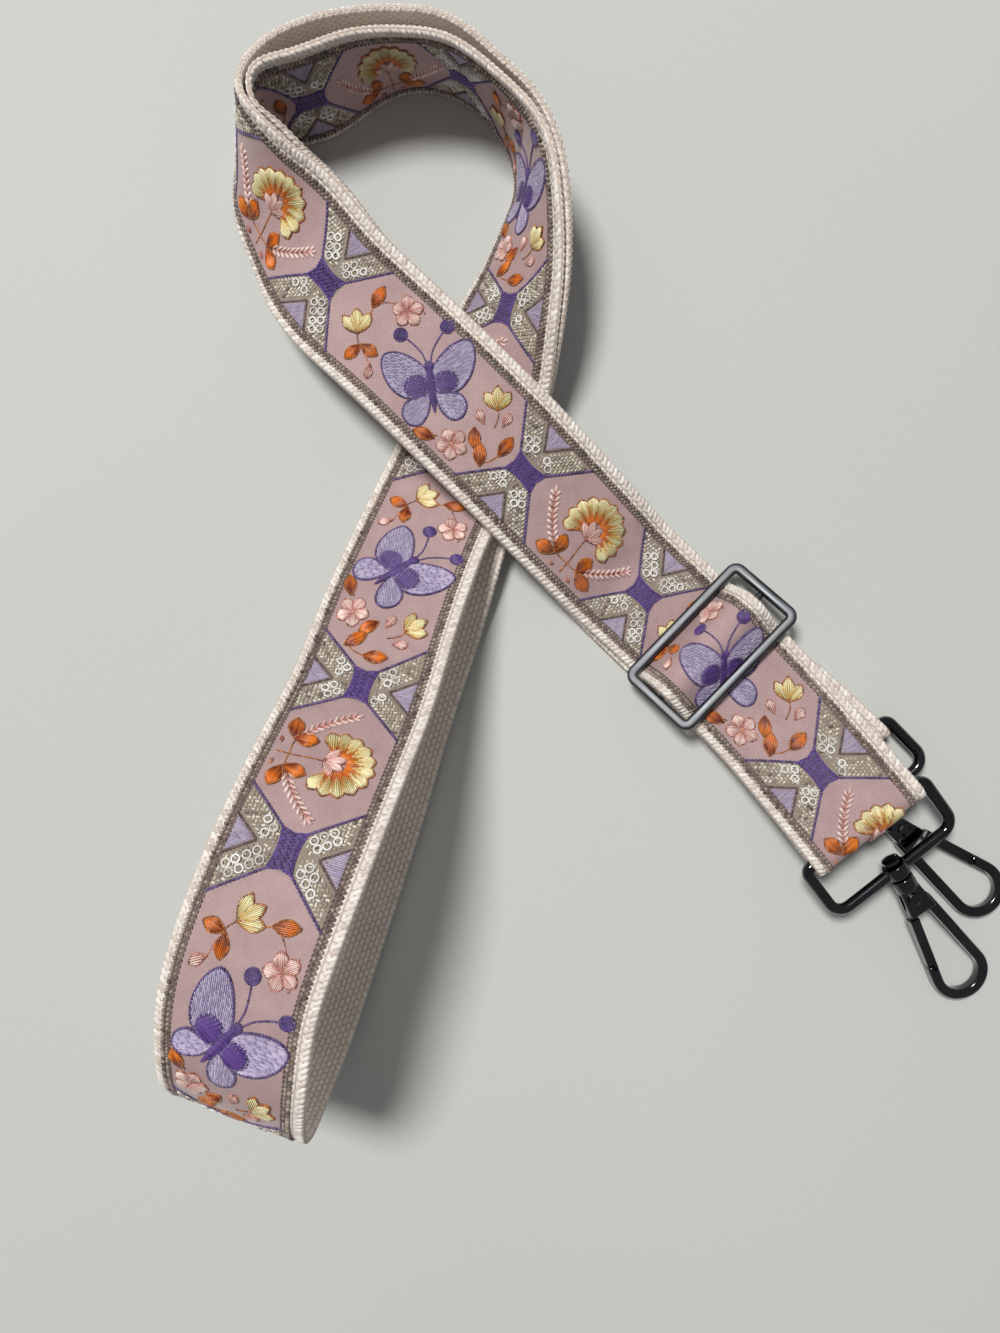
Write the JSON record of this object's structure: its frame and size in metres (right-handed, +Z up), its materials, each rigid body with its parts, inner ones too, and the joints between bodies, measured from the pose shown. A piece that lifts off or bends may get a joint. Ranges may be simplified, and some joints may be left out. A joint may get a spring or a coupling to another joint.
{
  "type": "detachable bag strap",
  "caption": "Detachable fabric bag strap with an embroidered trim, a slide adjuster and a swivel snap hook on each end, laid out in a ribbon bow.",
  "frame": {"origin": "on the table, below the centre of the laid-out strap's box", "axes": "+Z up from the table; +Y from the folded end towards the loop at the back; +X towards the side that the hooks lie on"},
  "size_m": [0.2312, 0.2962, 0.076],
  "materials": {
    "webbing_cotton": "off-white woven cotton webbing, matt",
    "trim_embroidery": "sheer pink ribbon covered with satin stitch and small sequins",
    "slider_metal": "dark grey plated steel, satin gloss",
    "slider_bar_metal": "dark grey plated steel",
    "ring_metal": "black plated steel wire, glossy",
    "pin_metal": "dark spring steel",
    "hook_metal": "glossy black plated die-cast metal",
    "gate_metal": "glossy black plated die-cast metal"
  },
  "bodies": {
    "strap": {"webbing": "webbing_cotton", "embroidered_trim": "trim_embroidery"},
    "slider": {"slider_frame": "slider_metal", "slider_centre_bar": "slider_bar_metal"},
    "ring_1": {"strap_ring_1": "ring_metal"},
    "hook_1": {"hook_body_1": "hook_metal", "swivel_stem_1": "pin_metal", "gate_rivet_1": "pin_metal", "gate_spring_1": "pin_metal"},
    "snap_gate_1": {"gate_1": "gate_metal"},
    "ring_2": {"strap_ring_2": "ring_metal"},
    "hook_2": {"hook_body_2": "hook_metal", "swivel_stem_2": "pin_metal", "gate_rivet_2": "pin_metal", "gate_spring_2": "pin_metal"},
    "snap_gate_2": {"gate_2": "gate_metal"}
  },
  "joints": [
    {"name": "slider_slide", "type": "slide", "parent": "strap", "child": "slider", "axis": [-0.7181, 0.6959, 0], "range_m": [-0.02, 0.03], "deforming": ["webbing", "embroidered_trim"]},
    {"name": "ring_1_swing", "type": "hinge", "parent": "strap", "child": "ring_1", "pos_m": [0.07069, -0.07348, 0.01298], "axis": [-0.7869, -0.6171, 0], "range_deg": [0, 120]},
    {"name": "hook_1_swivel", "type": "hinge", "parent": "ring_1", "child": "hook_1", "pos_m": [0.08091, -0.0865, 0.01012], "axis": [0.5504, -0.816, -0.1769], "continuous": true},
    {"name": "gate_1_opening", "type": "hinge", "parent": "hook_1", "child": "snap_gate_1", "pos_m": [0.08575, -0.09476, 0.0084], "axis": [0.0989, -0.1467, 0.9842], "range_deg": [0, 21], "stiffness_Nm_per_rad": 0.05, "springref_deg": -20.05, "deforming": ["gate_spring_1"]},
    {"name": "ring_2_swing", "type": "hinge", "parent": "strap", "child": "ring_2", "pos_m": [0.06508, -0.05873, 0.00463], "axis": [-0.7091, -0.7052, 0], "range_deg": [-120, 0]},
    {"name": "hook_2_swivel", "type": "hinge", "parent": "ring_2", "child": "hook_2", "pos_m": [0.07691, -0.07063, 0.00387], "axis": [0.7958, -0.6041, -0.0419], "continuous": true},
    {"name": "gate_2_opening", "type": "hinge", "parent": "hook_2", "child": "snap_gate_2", "pos_m": [0.085, -0.07601, 0.00346], "axis": [-0.0333, 0.0253, -0.9991], "range_deg": [0, 21], "stiffness_Nm_per_rad": 0.05, "springref_deg": -20.05, "deforming": ["gate_spring_2"]}
  ]
}
